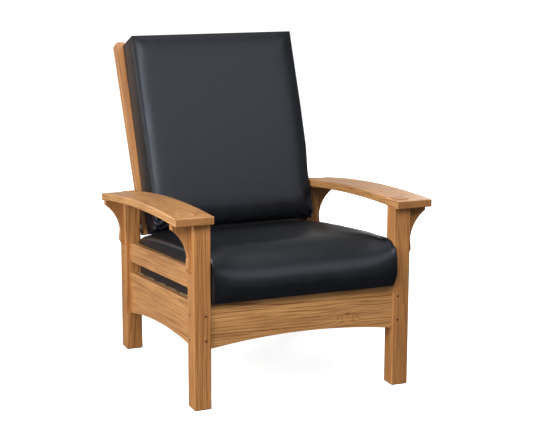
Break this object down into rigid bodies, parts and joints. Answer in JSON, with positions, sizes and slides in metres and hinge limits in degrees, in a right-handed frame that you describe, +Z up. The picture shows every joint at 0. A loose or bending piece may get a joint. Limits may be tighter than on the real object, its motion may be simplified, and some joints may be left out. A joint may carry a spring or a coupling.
{
  "type": "reclining armchair",
  "caption": "Mission style reclining armchair: square wooden legs, bowed arms on corbels, arched rails, loose black leather cushions and a tilting back held by a bar behind it.",
  "frame": {"origin": "on the floor, midway across the chair and midway between its foremost and rearmost points at rest", "axes": "+Z up, -Y towards the sitter's front, +X to the right as seen by someone who faces the chair"},
  "size_m": [0.8684, 1.0242, 1.0934],
  "materials": {
    "cherry": "satin clear lacquer over natural cherry",
    "plain_hardwood": "unfinished sanded hardwood",
    "dark_peg": "end grain, darkened by the lacquer",
    "black_leather": "smooth semi-matt black leather",
    "foam": "open-cell upholstery foam",
    "steel_pin": "plain turned steel",
    "zinc_screw": "bright zinc plate",
    "nylon_washer": "natural nylon"
  },
  "bodies": {
    "frame": {"arm_left": "cherry", "arm_right": "cherry", "bar_rack_left": "cherry", "bar_rack_right": "cherry", "corbel_dowels": "plain_hardwood", "corbel_front_left": "cherry", "corbel_front_right": "cherry", "corbel_rear_left": "cherry", "corbel_rear_right": "cherry", "front_rail": "cherry", "front_rail_pegs": "dark_peg", "leg_front_left": "cherry", "leg_front_right": "cherry", "leg_rear_left": "cherry", "leg_rear_right": "cherry", "rear_rail": "cherry", "rear_rail_pegs": "dark_peg", "seat_cleat_left": "plain_hardwood", "seat_cleat_right": "plain_hardwood", "seat_cleat_screws": "zinc_screw", "seat_slat_1": "plain_hardwood", "seat_slat_2": "plain_hardwood", "seat_slat_3": "plain_hardwood", "seat_slat_4": "plain_hardwood", "seat_slat_5": "plain_hardwood", "seat_slat_6": "plain_hardwood", "seat_slat_screws": "zinc_screw", "side_rail_left": "cherry", "side_rail_pegs": "dark_peg", "side_rail_right": "cherry", "upper_side_rail_left": "cherry", "upper_side_rail_right": "cherry"},
    "back": {"back_bottom_rail": "cherry", "back_slat_1": "cherry", "back_slat_2": "cherry", "back_slat_3": "cherry", "back_slat_4": "cherry", "back_stile_left": "cherry", "back_stile_right": "cherry", "back_top_rail": "cherry", "pivot_pin_left": "steel_pin", "pivot_pin_right": "steel_pin", "pivot_spacer_left": "nylon_washer", "pivot_spacer_right": "nylon_washer"},
    "support_bar": {"support_bar": "cherry"},
    "seat_cushion": {"seat_cushion_cover": "black_leather", "seat_cushion_core": "foam"},
    "back_cushion": {"back_cushion_cover": "black_leather", "back_cushion_core": "foam"}
  },
  "joints": [
    {"name": "back_recline", "type": "hinge", "parent": "frame", "child": "back", "pos_m": [0, 0.24876, 0.43], "axis": [-1, 0, 0], "range_deg": [0, 20]},
    {"name": "support_bar_slide", "type": "slide", "parent": "frame", "child": "support_bar", "axis": [0, 1, 0], "range_m": [0, 0.05382]},
    {"name": "seat_cushion_lift", "type": "slide", "parent": "frame", "child": "seat_cushion", "axis": [0, -0.9967, 0.0816], "range_m": [0, 0.15]},
    {"name": "back_cushion_lift", "type": "slide", "parent": "back", "child": "back_cushion", "axis": [0, 0.373, 0.9278], "range_m": [0, 0.15]}
  ],
  "couplings": [
    {"joint": "support_bar_slide", "follows": "back_recline", "m_per_rad": 0.1542}
  ]
}
